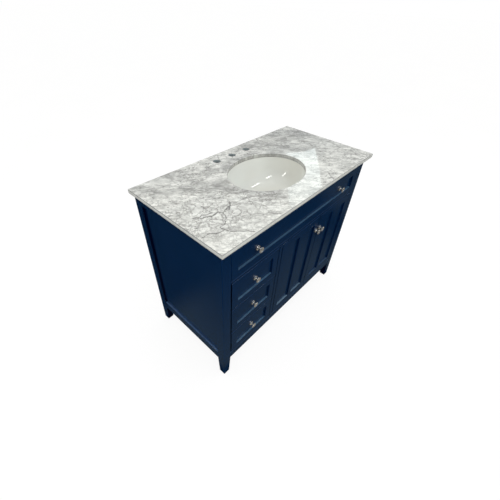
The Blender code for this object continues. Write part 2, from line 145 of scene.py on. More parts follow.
# darkest lines of its cracked patch: start, end, width on each side
MARBLE_CRACKS = (
    ((-0.47, -0.06), (-0.40, -0.085), 0.0035), ((-0.41, -0.02), (-0.405, -0.08), 0.003),
    ((-0.45, -0.08), (-0.36, -0.115), 0.0045), ((-0.36, -0.115), (-0.31, -0.09), 0.004),
    ((-0.34, -0.115), (-0.31, -0.088), 0.007), ((-0.36, -0.115), (-0.43, -0.17), 0.003),
    ((-0.43, -0.17), (-0.43, -0.22), 0.004), ((-0.43, -0.22), (-0.37, -0.262), 0.003),
    ((-0.52, -0.17), (-0.43, -0.19), 0.0025), ((-0.29, -0.20), (-0.23, -0.265), 0.0035))

# ---- light -----------------------------------------------------------
# the room as lit faces, mirrors and the camera see it: stops of (sine of the elevation, colour)
WORLD_DIFFUSE = ((0.0, (1.80, 1.79, 1.76)), (1.0, (0.35, 0.35, 0.35)))
WORLD_GLOSSY = ((0.0, (0.22, 0.24, 0.27)), (1.0, (0.65, 0.80, 0.98)), (0.45, (0.30, 0.36, 0.44)))
WORLD_CAMERA = ((0.0, (1, 1, 1)),)
# area lights: name, place, aim, size, power, colour
KEY_LIGHT = ("key_overhead", (-0.3, -0.5, 3.0), (0.0, 0.0, 0.5), (2.2, 1.6), 26.0, (0.98, 0.99, 1.0))
FILL_LIGHT = ("fill_front", (0.6, -3.0, 1.4), (0.0, 0.0, 0.5), (2.5, 1.5), 4.0, (0.95, 0.98, 1.0))
BOUNCE_LIGHT = ("floor_bounce", (0.0, -1.5, 0.002), (0.0, -1.5, 1.0), (4.0, 3.0), 12.0, (1.0, 0.93, 0.82))
FLOOR_HALF = 40.0
FLOOR_Z = -0.0005
FLOOR_GLOW = 0.88
# outline of the window's mirror image on the slab, and the height of the card that makes it
WINDOW_ON_SLAB = ((0.205, 0.035), (0.290, -0.012), (0.378, -0.026), (0.040, -0.275), (-0.185, -0.275),
                  (-0.055, -0.165))
WINDOW_HEIGHT = 2.4
WINDOW_COLOUR = (0.86, 1.0, 1.03)
WINDOW_STRENGTH = 2.2
# tubes that the bowl and the knobs mirror: start, end, width
TUBES = (((-0.56, -1.64, 3.0), (-1.56, -1.65, 3.0), 0.26), ((0.51, -1.12, 3.0), (1.50, -0.88, 3.0), 0.16),
         ((-0.32, -0.17, 3.0), (-0.13, -0.10, 3.0), 0.16), ((-2.80, 0.21, 3.0), (-3.20, 0.42, 2.45), 0.34),
         ((-3.20, 0.42, 2.45), (-3.45, 0.70, 1.90), 0.34), ((-3.45, 0.70, 1.90), (-3.55, 1.03, 1.36), 0.34),
         ((0.33, -0.80, 3.0), (0.42, -0.74, 3.0), 0.08))
TUBE_COLOUR = (1.0, 1.0, 0.97)
TUBE_STRENGTH = 12.0


# ---- node recipes ----------------------------------------------------
class Recipe:
    """One material's node tree, with short calls for the nodes that it uses."""

    def __init__(self, name, roughness=0.3, metallic=0.0):
        self.material = bpy.data.materials.new(name)
        self.material.use_nodes = True
        self.tree = self.material.node_tree
        self.shader = self.tree.nodes["Principled BSDF"]
        self.shader.inputs["Metallic"].default_value = metallic
        self.shader.inputs["Roughness"].default_value = roughness
        coordinates = self.node("ShaderNodeTexCoord").outputs
        self.place = coordinates["Object"]
        self.facing = coordinates["Normal"]

    def node(self, kind, inputs=(), **settings):
        made = self.tree.nodes.new(kind)
        for key, value in settings.items():
            setattr(made, key, value)
        for key, value in dict(inputs).items():
            self.feed(made.inputs[key], value)
        return made

    def feed(self, socket, value):
        if isinstance(value, bpy.types.NodeSocket):
            self.tree.links.new(value, socket)
        elif socket.type == "RGBA":
            socket.default_value = (*value, 1.0)
        else:
            socket.default_value = value

    def moved(self, vector, scale=(1, 1, 1), rotation=(0, 0, 0)):
        made = self.node("ShaderNodeMapping", {"Vector": vector})
        made.inputs["Scale"].default_value = scale
        made.inputs["Rotation"].default_value = rotation
        return made.outputs["Vector"]

    def noise(self, vector, scale, detail=4.0, roughness=0.55, output="Fac"):
        made = self.node("ShaderNodeTexNoise", {
            "Vector": vector, "Scale": scale, "Detail": detail, "Roughness": roughness})
        return made.outputs[output]

    def cells(self, vector, scale):
        made = self.node("ShaderNodeTexVoronoi", {"Vector": vector, "Scale": scale},
                         feature="DISTANCE_TO_EDGE")
        return made.outputs["Distance"]

    def warped(self, vector, scale, amount, detail=3.0):
        """The vector pushed about by a noise, by up to about half the amount each way."""
        push = self.noise(vector, scale, detail, 0.55, "Color")
        centred = self.vector("SUBTRACT", push, (0.5, 0.5, 0.5))
        return self.vector("MULTIPLY_ADD", centred, (amount, amount, amount), vector)

    def vector(self, operation, *values):
        made = self.node("ShaderNodeVectorMath", operation=operation)
        for index, value in enumerate(values):
            self.feed(made.inputs[index], value)
        return made.outputs["Value" if operation in ("LENGTH", "DOT_PRODUCT") else "Vector"]

    def math(self, operation, *values, clamp=False):
        made = self.node("ShaderNodeMath", operation=operation, use_clamp=clamp)
        for index, value in enumerate(values):
            self.feed(made.inputs[index], value)
        return made.outputs[0]

    def times(self, first, second):
        return self.math("MULTIPLY", first, second)

    def axes(self, vector):
        """The X, Y and Z sockets of a vector, by name."""
        return self.node("ShaderNodeSeparateXYZ", {0: vector}).outputs

    def spread(self, value, low, high, to_low=0.0, to_high=1.0):
        """Maps low..high to to_low..to_high with soft ends."""
        made = self.node("ShaderNodeMapRange", {
            "Value": value, "From Min": low, "From Max": high, "To Min": to_low, "To Max": to_high},
            interpolation_type="SMOOTHSTEP")
        return made.outputs["Result"]

    def fall(self, value, low, high):
        """1 below low, falling softly to 0 at high."""
        return self.spread(value, low, high, 1.0, 0.0)

    def near_any(self, value, positions, width):
        """1 within half the width of any of the positions, falling to 0 at the width."""
        nearest = None
        for position in positions:
            away = self.math("ABSOLUTE", self.math("SUBTRACT", value, position))
            nearest = away if nearest is None else self.math("MINIMUM", nearest, away)
        return self.fall(nearest, width / 2, width)

    def mix(self, share, first, second):
        """Colour that goes from the first to the second as share goes from 0 to 1."""
        made = self.node("ShaderNodeMix", data_type="RGBA")
        self.feed(made.inputs[0], share)
        self.feed(made.inputs[6], first)
        self.feed(made.inputs[7], second)
        return made.outputs[2]

    def bump(self, height, distance, strength):
        made = self.node("ShaderNodeBump", {"Height": height, "Distance": distance, "Strength": strength})
        return made.outputs["Normal"]

    def finish(self, colour=None, roughness=None, normal=None, **constants):
        for key, value in (("Base Color", colour), ("Roughness", roughness), ("Normal", normal)):
            if value is not None:
                self.feed(self.shader.inputs[key], value)
        for key, value in constants.items():
            self.shader.inputs[key.replace("_", " ")].default_value = value
        return self.material


# ---- materials -------------------------------------------------------
def navy_lacquer():
    """Sprayed glossy navy: faint drift, a trace of grain, a painted sky-blue highlight on level ledges, and
    painted shade on sideways walls, in gaps and on the legs' inner faces.
    """
    r = Recipe("navy_lacquer")
    drift = r.spread(r.noise(r.place, 3.1, 3.0), 0.3, 0.7)
    fine = r.spread(r.noise(r.place, 60.0, 3.0), 0.4, 0.75)
    colour = r.mix(drift, (0.0026, 0.0185, 0.0600), (0.0034, 0.0210, 0.0680))
    colour = r.mix(r.times(fine, 0.3), colour, (0.0045, 0.0240, 0.0740))
    slope = r.axes(r.facing)
    at = r.axes(r.place)

    def to_negative(component):
        """1 where a face's normal leans well to the negative side of an axis."""
        return r.fall(component, -0.75, -0.40)

    # painted highlight: level ledges turn pale sky-blue, except the top edges of the drawer fronts
    on_top = r.near_any(at["Z"], GAP_TOPS, 0.004)
    level = r.times(r.spread(slope["Z"], 0.93, 0.995), r.math("SUBTRACT", 1.0, on_top))
    # painted highlight on low ledges: paler on the left door, darker on the right one
    lower_ledges = r.fall(at["Z"], 0.25, 0.40)
    right_door = r.times(r.spread(at["X"], 0.13, 0.18), lower_ledges)
    left_door = r.times(r.spread(at["X"], -0.16, -0.14), lower_ledges)
    streaks = r.spread(r.noise(r.place, 35.0, 4.0), 0.3, 0.7, 0.80, 1.10)
    amount = r.times(r.math("MULTIPLY_ADD", right_door, -0.52, 0.70), streaks)
    ledge_painted_highlight = r.mix(left_door, (0.080, 0.170, 0.265), (0.200, 0.310, 0.400))
    outer_side = r.fall(at["X"], SIDE_X + 0.0055, SIDE_X + 0.0135)
    ledge_painted_highlight = r.mix(outer_side, ledge_painted_highlight, (0.075, 0.140, 0.280))
    colour = r.mix(r.times(level, amount), colour, ledge_painted_highlight)

    # painted shade: the left-facing walls of the recesses and gaps, the back posts' walls, the side panels
    # beside them, and the inner faces of the legs
    behind_front = r.spread(at["Y"], FRONT_Y + 0.0001, FRONT_Y + 0.0008)
    sideways = r.times(to_negative(slope["X"]), behind_front)
    sideways = r.times(sideways, r.spread(at["X"], SIDE_X + 0.0135, SIDE_X + 0.0235))
    colour = r.mix(r.times(sideways, 0.55), colour, (0.0003, 0.0065, 0.0420))
    in_gap = r.times(sideways, r.near_any(at["X"], GAP_SIDES, 0.0040))
    colour = r.mix(r.times(in_gap, 0.95), colour, (0.0004, 0.0006, 0.0030))
    post_wall = r.times(to_negative(slope["Y"]), r.near_any(at["Y"], [BACK_POST_Y], 0.0030))
    on_panel = r.times(r.spread(at["X"], SIDE_X + 0.004, SIDE_X + 0.007), r.fall(slope["X"], -0.95, -0.80))
    beside_post = r.times(on_panel, r.spread(at["Y"], BACK_POST_Y - 0.022, BACK_POST_Y - 0.002))
    across = r.times(slope["X"], r.math("SIGN", at["X"]))
    deep = r.times(slope["Y"], r.math("SIGN", at["Y"]))
    on_leg = r.times(to_negative(r.math("MINIMUM", across, deep)), r.fall(at["Z"], LEG_H - 0.006, LEG_H))
    # painted shade on the side panel beside the back post, and darker painted shade on the post's wall and
    # the legs' inner faces
    colour = r.mix(beside_post, colour, (0.0002, 0.0020, 0.0220))
    colour = r.mix(r.times(r.math("MAXIMUM", post_wall, on_leg), 0.97), colour,
                   (0.0002, 0.0005, 0.0160))
    roughness = r.spread(r.noise(r.place, 9.0, 5.0, 0.6), 0.3, 0.7, 0.12, 0.20)
    pores = r.noise(r.moved(r.place, scale=(3.0, 3.0, 1.0)), 9.0, 3.0, 0.5)
    normal = r.bump(pores, 0.0002, 0.10)
    return r.finish(colour, roughness, normal, IOR=1.5, Specular_IOR_Level=0.5)


def near_line(r, place, start, end, width):
    """1 on the line from start to end in the slab's plane, falling to 0 at width from it."""
    ax, ay = start
    dx, dy = end[0] - ax, end[1] - ay
    length_2 = dx * dx + dy * dy
    away = r.vector("MULTIPLY", r.vector("SUBTRACT", place, (ax, ay, 0.0)), (1.0, 1.0, 0.0))
    share = r.math("DIVIDE", r.vector("DOT_PRODUCT", away, (dx, dy, 0.0)), length_2, clamp=True)
    foot = r.node("ShaderNodeVectorMath", {0: (dx, dy, 0.0)}, operation="SCALE")
    r.feed(foot.inputs["Scale"], share)
    gap = r.vector("LENGTH", r.vector("SUBTRACT", away, foot.outputs["Vector"]))
    return r.fall(gap, 0.0, width)


def vein(r, place, scale, width, detail=5.0, roughness=0.55):
    """1 along wandering lines where a noise passes its middle, falling to 0 at width from them."""
    middle = r.math("ABSOLUTE", r.math("SUBTRACT", r.noise(place, scale, detail, roughness), 0.5))
    return r.fall(middle, 0.0, width)


def marble():
    """Polished white marble: grey drifts, slanting streaks, soft veins and a few fine cracks."""
    r = Recipe("carrara_marble")
    flat = r.vector("MULTIPLY", r.place, (1.0, 1.0, 0.6))
    turned = r.moved(flat, rotation=(0, 0, math.radians(42)))
    along = r.vector("MULTIPLY", turned, (1.0, 2.3, 1.0))
    bent = r.warped(along, 6.0, 0.12, 4.0)
    wavy = r.warped(bent, 34.0, 0.030, 4.0)
    rough = r.warped(r.warped(flat, 12.0, 0.05, 3.0), 45.0, 0.018, 3.0)

    plan = r.warped(r.warped(flat, 9.0, 0.07, 4.0), 40.0, 0.02, 3.0)
    shade = None
    for start, end, width, weight in MARBLE_DRIFTS:
        one = r.times(near_line(r, plan, start, end, width), weight)
        shade = one if shade is None else r.math("MAXIMUM", shade, one)

    mottle = r.spread(r.noise(wavy, 16.0, 6.0, 0.65), 0.44, 0.60)
    grain = r.spread(r.noise(wavy, 60.0, 4.0, 0.6), 0.42, 0.62)
    soft_veins = r.times(vein(r, bent, 9.0, 0.050), r.spread(r.noise(flat, 7.0, 3.0), 0.36, 0.60))
    thin_veins = r.times(vein(r, wavy, 17.0, 0.024), r.spread(r.noise(flat, 11.0, 3.0), 0.36, 0.54))
    cross_veins = r.times(vein(r, rough, 13.0, 0.015), r.spread(r.noise(rough, 8.0, 3.0), 0.40, 0.56))
    left_front = near_line(r, flat, (-0.46, -0.08), (-0.20, -0.24), 0.26)
    crackle = r.math("MAXIMUM", r.fall(r.cells(rough, 26.0), 0.0, 0.07), vein(r, rough, 24.0, 0.022))
    crackle_here = r.times(r.spread(r.noise(flat, 15.0, 3.0), 0.36, 0.52), left_front)

    dark = None
    for start, end, width in MARBLE_CRACKS:
        one = near_line(r, rough, start, end, width)
        dark = one if dark is None else r.math("MAXIMUM", dark, one)

    white = r.mix(r.spread(r.noise(flat, 5.0, 2.0), 0.35, 0.65),
                  (0.78, 0.78, 0.73), (0.735, 0.74, 0.70))
    # whiter, calmer stone at the front; along the window's mirror image the veins are painted faint, a
    # painted reflection washing them out
    near_corner = near_line(r, plan, (-0.50, -0.24), (-0.14, -0.25), 0.13)
    white = r.mix(r.times(near_corner, 0.35), white, (0.88, 0.88, 0.82))
    calm_and_reflection_wash = near_line(r, flat, (0.30, -0.02), (-0.04, -0.25), 0.085)
    calm_and_reflection_wash = r.math("MAXIMUM", calm_and_reflection_wash, r.times(near_corner, 0.7))
    calm_and_reflection_wash = r.math("MULTIPLY_ADD", calm_and_reflection_wash, -0.55, 1.0)
    speckled = r.math("MULTIPLY_ADD", mottle, 0.6, r.times(grain, 0.4))
    cloudy = r.times(shade, r.math("MULTIPLY_ADD", speckled, 0.70, 0.30))
    colour = r.mix(cloudy, white, (0.16, 0.16, 0.15))
    colour = r.mix(r.times(speckled, 0.62), colour, (0.35, 0.35, 0.325))
    for veins, strength in ((soft_veins, 0.60), (thin_veins, 0.84), (cross_veins, 0.84)):
        veins = r.times(veins, calm_and_reflection_wash)
        colour = r.mix(r.times(veins, strength), colour, (0.22, 0.215, 0.20))
    cracked = r.times(r.times(crackle, crackle_here), calm_and_reflection_wash)
    colour = r.mix(r.times(cracked, 0.80), colour, (0.21, 0.20, 0.18))
    colour = r.mix(r.times(dark, 0.88), colour, (0.12, 0.115, 0.105))
    slope = r.axes(r.facing)
    lean = r.math("ABSOLUTE", slope["Z"])
    upright_face = r.fall(lean, 0.30, 0.80)
    rim = r.vector("LENGTH", r.vector("MULTIPLY", r.vector("SUBTRACT", flat, (*SINK_CENTRE, 0.0)),
                                      (1 / SINK_HALF[0], 1 / SINK_HALF[1], 0.0)))
    in_cut = r.times(r.fall(rim, 1.03, 1.05), upright_face)
    outside = r.times(r.math("SUBTRACT", upright_face, in_cut), 0.78)
    colour = r.mix(outside, colour, (0.80, 0.81, 0.775))
    # painted shade on the wall of the sink cut-out, growing darker towards the right
    cut_wall_shade = r.spread(r.axes(flat)["X"], 0.02, 0.17, 0.22, 0.55)
    colour = r.mix(r.times(in_cut, cut_wall_shade), colour, (0.20, 0.20, 0.185))
    # walls of the faucet holes: darker and bluish, partly the drilled stone's own duller colour and partly
    # painted shade
    bored = near_line(r, flat, (FAUCET_X[0], FAUCET_Y), (FAUCET_X[2], FAUCET_Y), 2 * FAUCET_R)
    colour = r.mix(r.times(r.spread(bored, 0.2, 0.3), upright_face), colour, (0.34, 0.39, 0.40))
    # painted shade: a dark line along the eased edges, where they turn from the top to the sides
    arris_shade = r.times(r.spread(lean, 0.02, 0.20), r.fall(lean, 0.50, 0.75))
    colour = r.mix(r.times(arris_shade, 0.72), colour, (0.20, 0.205, 0.20))
    roughness = r.spread(r.noise(flat, 40.0, 4.0), 0.3, 0.7, 0.015, 0.04)
    normal = r.bump(r.noise(flat, 14.0, 2.0), 0.0003, 0.03)
    return r.finish(colour, roughness, normal, IOR=1.5, Specular_IOR_Level=0.5)


def ceramic():
    """Glazed vitreous china: cool white, with a painted warm reflection near the drain, painted shade on
    the right wall, and an uneven glaze.
    """
    r = Recipe("glazed_ceramic")
    drift = r.spread(r.noise(r.place, 4.0, 3.0), 0.3, 0.7)
    colour = r.mix(drift, (0.77, 0.785, 0.745), (0.73, 0.75, 0.72))
    painted_warm_reflection = near_line(r, r.place, (0.04, 0.05), (0.17, -0.02), 0.13)
    colour = r.mix(r.times(painted_warm_reflection, 0.8), colour, (0.70, 0.68, 0.60))
    # painted shade on the bowl's right wall
    deep = near_line(r, r.place, (0.21, -0.06), (0.18, 0.09), 0.09)
    colour = r.mix(r.times(deep, 0.5), colour, (0.58, 0.58, 0.535))
    roughness = r.spread(r.noise(r.place, 30.0, 3.0), 0.3, 0.7, 0.03, 0.05)
    normal = r.bump(r.noise(r.place, 22.0, 2.0), 0.0005, 0.05)
    return r.finish(colour, roughness, normal, IOR=1.52, Coat_Weight=0.5, Coat_Roughness=0.03)


def metal(name, colour, worn, roughness_low, roughness_high, grain):
    """Metal with a cloudy polish and fine turned or rolled scratches."""
    r = Recipe(name, metallic=1.0)
    drift = r.spread(r.noise(r.place, 60.0, 4.0), 0.35, 0.7)
    mixed = r.mix(drift, colour, worn)
    scratches = r.noise(r.moved(r.place, grain), 1.0, 4.0, 0.7)
    roughness = r.spread(scratches, 0.25, 0.75, roughness_low, roughness_high)
    normal = r.bump(scratches, 0.00004, 0.25)
    return r.finish(mixed, roughness, normal)


def wood(name, pale, dark, grain, ring_scale):
    """Clear-finished wood: long fibres along the grain and darker rings."""
    r = Recipe(name)
    place = r.warped(r.moved(r.place, grain), 1.0, 0.35, 3.0)
    rings = r.noise(place, ring_scale, 5.0, 0.55)
    fibres = r.noise(r.vector("MULTIPLY", place, (6.0, 6.0, 6.0)), ring_scale * 2, 5.0, 0.7)
    share = r.math("ADD", r.times(r.spread(rings, 0.35, 0.7), 0.65),
                   r.times(r.spread(fibres, 0.4, 0.7), 0.35), clamp=True)
    colour = r.mix(share, pale, dark)
    roughness = r.spread(fibres, 0.3, 0.7, 0.38, 0.52)
    normal = r.bump(fibres, 0.0002, 0.3)
    return r.finish(colour, roughness, normal, Coat_Weight=0.15, Coat_Roughness=0.3)


def plywood(name, thin_axis):
    """Birch plywood: long pale figure on the faces, thin glued layers on the edges."""
    r = Recipe(name)
    grain = [14.0, 14.0, 14.0]
    grain[1 if thin_axis == "Z" else 2] = 1.2
    place = r.warped(r.moved(r.place, grain), 1.0, 0.35, 3.0)
    figure = r.spread(r.noise(place, 2.0, 5.0, 0.6), 0.32, 0.7)
    fibres = r.noise(r.vector("MULTIPLY", place, (7.0, 7.0, 7.0)), 4.0, 4.0, 0.7)
    face = r.mix(figure, (0.62, 0.46, 0.29), (0.50, 0.345, 0.20))
    face = r.mix(r.times(r.spread(fibres, 0.45, 0.75), 0.35), face, (0.36, 0.235, 0.13))
    height = r.axes(r.place)[thin_axis]
    layer = r.math("FRACT", r.times(height, 1 / 0.0030))
    veneer = r.mix(r.spread(layer, 0.42, 0.5), (0.56, 0.40, 0.24), (0.30, 0.19, 0.10))
    upright = r.axes(r.facing)
    on_face = r.spread(r.math("ABSOLUTE", upright[thin_axis]), 0.4, 0.6)
    colour = r.mix(on_face, veneer, face)
    roughness = r.spread(fibres, 0.3, 0.7, 0.45, 0.6)
    normal = r.bump(fibres, 0.0002, 0.3)
    return r.finish(colour, roughness, normal)


def rubber():
    r = Recipe("clear_rubber")
    speck = r.spread(r.noise(r.place, 400.0, 3.0), 0.3, 0.7)
    colour = r.mix(speck, (0.52, 0.52, 0.50), (0.60, 0.60, 0.57))
    normal = r.bump(speck, 0.00005, 0.3)
    return r.finish(colour, r.spread(speck, 0.0, 1.0, 0.30, 0.42), normal)


NAVY = navy_lacquer()
MARBLE = marble()
CERAMIC = ceramic()
NICKEL = metal("polished_nickel", (0.74, 0.71, 0.66), (0.62, 0.59, 0.54), 0.07, 0.16, (500, 500, 90))
ZINC = metal("zinc_steel", (0.60, 0.61, 0.62), (0.46, 0.47, 0.48), 0.26, 0.42, (900, 60, 900))
MAPLE = wood("maple_board", (0.66, 0.47, 0.28), (0.50, 0.325, 0.175), (16.0, 1.6, 16.0), 1.6)
MAPLE_ACROSS = wood("maple_across", (0.66, 0.47, 0.28), (0.50, 0.325, 0.175), (1.6, 16.0, 16.0), 1.6)
MAPLE_END = wood("maple_end_grain", (0.42, 0.27, 0.145), (0.33, 0.20, 0.10), (60.0, 60.0, 60.0), 3.0)
PLY_FLAT = plywood("birch_ply_flat", "Z")
PLY_BACK = plywood("birch_ply_back", "Y")
PLY_SIDE = plywood("birch_ply_upright", "X")
RUBBER = rubber()
PULLS = []          # knob pieces, which the bounce light is meant for


# ---- mesh helpers ----------------------------------------------------
def to_object(name, bm, material):
    mesh = bpy.data.meshes.new(name)
    bm.to_mesh(mesh)
    bm.free()
    mesh.materials.append(material)
    ob = bpy.data.objects.new(name, mesh)
    bpy.context.scene.collection.objects.link(ob)
    return ob


def piece(name, bm, material, body, replaces=(), smooth=True):
    """Turns a bmesh into a piece of the object that rides on a CAD body."""
    bmesh.ops.recalc_face_normals(bm, faces=bm.faces)
    ob = to_object(name, bm, material)
    if smooth:
        ob.data.shade_smooth()
        ob.data.set_sharp_from_angle(angle=math.radians(40))
        normals = ob.modifiers.new("flat_faces_stay_flat", "WEIGHTED_NORMAL")
        normals.keep_sharp = True
    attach(ob, body)
    if replaces:
        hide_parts(*replaces)
    return ob


def add_box(bm, low, high, rounding):
    low = Vector(low)
    high = Vector(high)
    made = bmesh.ops.create_cube(bm, size=1.0)["verts"]
    bmesh.ops.scale(bm, vec=high - low, verts=made)
    bmesh.ops.translate(bm, vec=(low + high) / 2, verts=made)
    edges = list({edge for vert in made for edge in vert.link_edges})
    bmesh.ops.bevel(bm, geom=edges, offset=rounding, segments=2, profile=0.5, affect="EDGES")


def rectangle(low, high, corner, outward, steps=4):
    """Rounded rectangle in the plane, moved outward by a distance, as a list of points."""
    radius = max(corner + outward, 1e-5)
    points = []
    corners = ((high[0], high[1], 0), (low[0], high[1], 1), (low[0], low[1], 2), (high[0], low[1], 3))
    for x, y, quarter in corners:
        sx = 1 if quarter in (0, 3) else -1
        sy = 1 if quarter in (0, 1) else -1
        cx = x - sx * corner
        cy = y - sy * corner
        for step in range(steps + 1):
            angle = math.pi / 2 * (quarter + step / steps)
            points.append((cx + radius * math.cos(angle), cy + radius * math.sin(angle)))
    return points


def oval(centre, half, outward, steps):
    """Oval in the plane, moved outward by a distance, as a list of points."""
    points = []
    for step in range(steps):
        angle = 2 * math.pi * step / steps
        points.append((centre[0] + (half[0] + outward) * math.cos(angle),
                       centre[1] + (half[1] + outward) * math.sin(angle)))
    return points


def add_ring(bm, points, height):
    return [bm.verts.new((x, y, height)) for x, y in points]


def bridge(bm, first, second):
    count = len(first)
    for i in range(count):
        j = (i + 1) % count
        bm.faces.new((first[i], first[j], second[j], second[i]))


def plate(outer, holes, z0, z1, ease, steps=3):
    """Flat plate with holes and eased edges. outer and holes take a distance and give a loop."""
    bm = bmesh.new()
    caps = {z0: [], z1: []}
    for loop, inward in [(outer, -1)] + [(hole, 1) for hole in holes]:
        rings = []
        for end, direction in ((z1, -1), (z0, 1)):
            half = []
            for step in range(steps + 1):
                angle = math.pi / 2 * step / steps
                inset = ease * (1 - math.sin(angle))
                height = end + direction * ease * (1 - math.cos(angle))
                half.append(add_ring(bm, loop(inward * inset), height))
            caps[end].append(half[0])
            rings += half if end == z1 else half[::-1]
        for first, second in zip(rings, rings[1:]):
            bridge(bm, first, second)
    for loops in caps.values():
        edges = []
        for ring in loops:
            edges += [bm.edges.get((ring[i], ring[(i + 1) % len(ring)])) for i in range(len(ring))]
        bmesh.ops.triangle_fill(bm, edges=edges, use_beauty=True)
    return bm


def add_turned(bm, profile, steps, matrix):
    """Closed turned solid about Z from (radius, height) points; a zero radius closes an end."""
    rings = []
    made = []
    for radius, height in profile:
        if radius <= 0:
            rings.append([bm.verts.new((0, 0, height))])
        else:
            rings.append(add_ring(bm, oval((0, 0), (radius, radius), 0, steps), height))
        made += rings[-1]
    for first, second in zip(rings, rings[1:]):
        if len(first) == 1 or len(second) == 1:
            tip, ring = (first[0], second) if len(first) == 1 else (second[0], first)
            for i in range(steps):
                bm.faces.new((tip, ring[i], ring[(i + 1) % steps]))
        else:
            bridge(bm, first, second)
    bmesh.ops.transform(bm, matrix=matrix, verts=made)


def facing(point, direction):
    """Matrix that puts a thing built about +Z at a point, with its +Z along a direction."""
    turn = Vector(direction).to_track_quat("Z", "Y").to_matrix().to_4x4()
    return Matrix.Translation(point) @ turn


def upright(bm, y):
    """Stands a plate built in XY up in the XZ plane, its far side (+Z) becoming the front (-Y)."""
    bmesh.ops.transform(bm, matrix=Matrix.Translation((0, y, 0)) @ Matrix.Rotation(math.pi / 2, 4, "X"),
                        verts=bm.verts)


# ---- carried-over CAD nodes ------------------------------------------
def dress(node, material, rounding=SOFT_EDGE):
    """Gives a CAD node its finish, and rounds its small chamfers a little more."""
    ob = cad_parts[node]
    ob.data.materials.clear()
    ob.data.materials.append(material)
    weld = ob.modifiers.new("weld", "WELD")
    weld.merge_threshold = 0.00002
    bevel = ob.modifiers.new("round", "BEVEL")
    bevel.width = rounding
    bevel.segments = 2
    bevel.limit_method = "ANGLE"
    bevel.angle_limit = math.radians(35)
    ob.modifiers.new("flat_faces_stay_flat", "WEIGHTED_NORMAL")
    for polygon in ob.data.polygons:
        polygon.use_smooth = True


def dress_carcass():
    painted = ["front_top_rail", "front_mid_rail", "front_bottom_rail", "front_divider"]
    for side in ("left", "right"):
        painted += [f"post_front_{side}", f"post_back_{side}", f"side_top_rail_{side}",
                    f"side_bottom_rail_{side}", f"side_panel_{side}"]
    for node in painted:
        dress(node, NAVY)
    dress("floor_panel", PLY_FLAT)
    dress("partition", PLY_SIDE)
    dress("back_panel", PLY_BACK)
    dress("back_top_rail", PLY_BACK)
    for level in LEVELS:
        dress(f"drawer_bottom_{level}", PLY_FLAT)
        for side in ("left", "right"):
            dress(f"slide_rail_{level}_{side}", ZINC, SHEET_EDGE)
            dress(f"slide_runner_{level}_{side}", ZINC, SHEET_EDGE)
    for side in ("left", "right"):
        for end in ("bottom", "top"):
            dress(f"hinge_{side}_{end}", ZINC, SHEET_EDGE)
    for side in ("left", "right", "front", "back"):
        dress(f"sink_clip_{side}", ZINC, SHEET_EDGE)


# ---- marble slab and bowl --------------------------------------------
def make_slab():
    low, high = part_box("marble_top")
    sink_steps = 160
    faucet_steps = 56
    holes = [lambda out: oval(SINK_CENTRE, SINK_HALF, out, sink_steps)]
    for x in FAUCET_X:
        holes.append(lambda out, x=x: oval((x, FAUCET_Y), (FAUCET_R, FAUCET_R), out, faucet_steps))
    bm = plate(lambda out: rectangle(low, high, MARBLE_CORNER, out), holes, low.z, high.z, MARBLE_EASE)
    piece("marble_slab", bm, MARBLE, "cabinet", ["marble_top"])


def bowl_rings():
    """(half x, half y, height) of the bowl's rings, from the drain up the inside and back outside."""
    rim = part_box("marble_top")[0].z - BOWL_GAP
    stretch = BOWL_HALF[0] / BOWL_HALF[1]
    bottom = rim - BOWL_DEPTH
    round_to_oval = 0.045        # beyond the drain's seat
    side_power = 0.75            # below 1 for steeper sides
    floor_power = 0.8            # below 1 for a rounder floor

    def ring(half_y, height):
        near = min(1.0, max(0.0, (half_y - DRAIN_SEAT_R) / round_to_oval))
        share = near * near * (3 - 2 * near)
        return (half_y * (1 + (stretch - 1) * share), half_y, height)

    def wall(extra_r, drop, samples, start):
        rings = []
        for i in range(samples + 1):
            angle = math.pi / 2 * (start + (1 - start) * i / samples)
            fraction = math.sin(angle) ** side_power
            height = rim - drop - BOWL_DEPTH * math.cos(angle) ** floor_power
            rings.append(ring(fraction * (BOWL_HALF[1] + extra_r), height))
        return rings

    inside = wall(0.0, 0.0, 30, 0.085)
    outside = wall(BOWL_T, BOWL_T, 22, 0.10)
    seat = bottom - DRAIN_SEAT_DEPTH
    drain = [(DRAIN_R, bottom - BOWL_T), (DRAIN_R, seat - 0.0015), (DRAIN_R + 0.0006, seat - 0.0004),
             (DRAIN_R + 0.0015, seat), (DRAIN_SEAT_R - 0.0025, seat + 0.0002),
             (DRAIN_SEAT_R - 0.0010, seat + 0.0008), (DRAIN_SEAT_R + 0.0006, bottom - 0.0004)]
    rings = [ring(half_y, height) for half_y, height in drain]
    rings += [r for r in inside[:-1] if r[1] > DRAIN_SEAT_R + 0.002]
    for out, drop in ((-0.0006, 0.0020), (0.0004, 0.0006), (0.0020, 0.0)):
        rings.append((BOWL_HALF[0] + out, BOWL_HALF[1] + out, rim - drop))
    edge = BOWL_HALF[1] + BOWL_FLANGE
    corner = 0.002
    for out, height in ((-corner, rim), (0.0, rim - corner),
                        (0.0, rim - BOWL_T + corner), (-corner, rim - BOWL_T)):
        rings.append(((edge + out) * stretch, edge + out, height))
    rings += [r for r in outside[::-1] if DRAIN_R + 0.004 < r[1] < BOWL_HALF[1] + BOWL_T - 0.0005]
    return rings


def make_bowl():
    bm = bmesh.new()
    loops = [add_ring(bm, oval(SINK_CENTRE, (x, y), 0, BOWL_STEPS), z) for x, y, z in bowl_rings()]
    for first, second in zip(loops, loops[1:] + loops[:1]):
        bridge(bm, first, second)
    piece("sink_basin", bm, CERAMIC, "cabinet", ["sink_bowl"])


